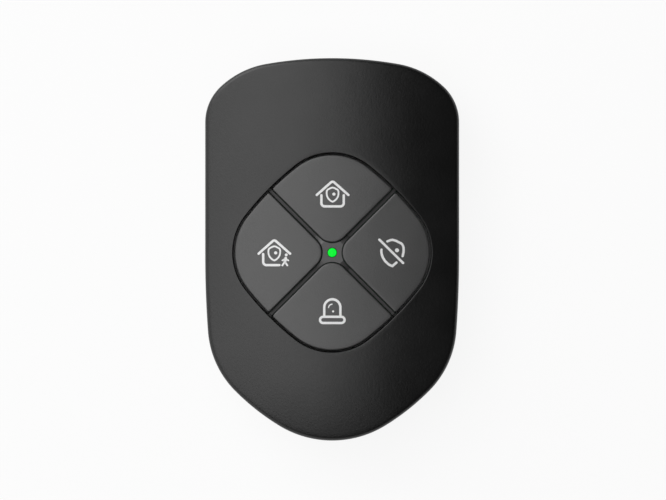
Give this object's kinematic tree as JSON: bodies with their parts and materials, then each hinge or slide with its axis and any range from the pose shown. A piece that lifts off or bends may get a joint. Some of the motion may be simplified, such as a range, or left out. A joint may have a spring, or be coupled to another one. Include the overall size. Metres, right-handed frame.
{
  "type": "alarm key fob",
  "caption": "Hand-held alarm remote with a shield-shaped arched housing, four push keys in a rounded diamond round a status light, and a lanyard bar in the rear cover.",
  "frame": {"origin": "middle of the rear face, on the surface the fob lies on", "axes": "+Z out of the front face, +Y towards the crown end that holds the lanyard bar, +X to the right seen from the front"},
  "size_m": [0.038, 0.057, 0.0126],
  "materials": {
    "cover_black": "satin moulded plastic with a very fine texture",
    "key_grey": "fine matt texture",
    "light_green": "clear light pipe, lit green",
    "board_green": "solder mask over glass laminate",
    "moulded_black": "moulded",
    "steel": "bright",
    "cell_can": "bright rolled can",
    "gold_plate": "plated",
    "ceramic": "fired ceramic"
  },
  "bodies": {
    "root": {"front_cover": "cover_black", "rear_cover": "cover_black", "case_screws": "steel", "lanyard_bar": "steel", "key_frame": "key_grey", "light_pipe": "light_green", "circuit_board": "board_green", "board_screws": "steel", "home_switch_base": "moulded_black", "away_switch_base": "moulded_black", "disarm_switch_base": "moulded_black", "alarm_switch_base": "moulded_black", "home_switch_plate": "steel", "away_switch_plate": "steel", "disarm_switch_plate": "steel", "alarm_switch_plate": "steel", "status_led": "ceramic", "controller_chip": "moulded_black", "radio_chip": "moulded_black", "radio_crystal": "steel", "clock_crystal": "steel", "chip_capacitors": "ceramic", "chip_resistors": "moulded_black", "matching_coils": "ceramic", "antenna_coil": "gold_plate", "battery_cell": "cell_can", "battery_holder": "moulded_black", "positive_contact": "steel", "negative_contact": "gold_plate"},
    "home_key": {"home_key": "key_grey"},
    "away_key": {"away_key": "key_grey"},
    "disarm_key": {"disarm_key": "key_grey"},
    "alarm_key": {"alarm_key": "key_grey"},
    "home_plunger": {"home_plunger": "moulded_black"},
    "away_plunger": {"away_plunger": "moulded_black"},
    "disarm_plunger": {"disarm_plunger": "moulded_black"},
    "alarm_plunger": {"alarm_plunger": "moulded_black"}
  },
  "joints": [
    {"name": "home_press", "type": "slide", "parent": "root", "child": "home_key", "axis": [0, 0, -1], "range_m": [0, 0.00035], "stiffness_N_per_m": 800, "springref_m": -0.0018},
    {"name": "away_press", "type": "slide", "parent": "root", "child": "away_key", "axis": [0, 0, -1], "range_m": [0, 0.00035], "stiffness_N_per_m": 800, "springref_m": -0.0018},
    {"name": "disarm_press", "type": "slide", "parent": "root", "child": "disarm_key", "axis": [0, 0, -1], "range_m": [0, 0.00035], "stiffness_N_per_m": 800, "springref_m": -0.0018},
    {"name": "alarm_press", "type": "slide", "parent": "root", "child": "alarm_key", "axis": [0, 0, -1], "range_m": [0, 0.00035], "stiffness_N_per_m": 800, "springref_m": -0.0018},
    {"name": "home_plunger_press", "type": "slide", "parent": "root", "child": "home_plunger", "axis": [0, 0, -1], "range_m": [0, 0.00035]},
    {"name": "away_plunger_press", "type": "slide", "parent": "root", "child": "away_plunger", "axis": [0, 0, -1], "range_m": [0, 0.00035]},
    {"name": "disarm_plunger_press", "type": "slide", "parent": "root", "child": "disarm_plunger", "axis": [0, 0, -1], "range_m": [0, 0.00035]},
    {"name": "alarm_plunger_press", "type": "slide", "parent": "root", "child": "alarm_plunger", "axis": [0, 0, -1], "range_m": [0, 0.00035]}
  ],
  "couplings": [
    {"joint": "home_plunger_press", "follows": "home_press", "ratio": 1},
    {"joint": "away_plunger_press", "follows": "away_press", "ratio": 1},
    {"joint": "disarm_plunger_press", "follows": "disarm_press", "ratio": 1},
    {"joint": "alarm_plunger_press", "follows": "alarm_press", "ratio": 1}
  ]
}
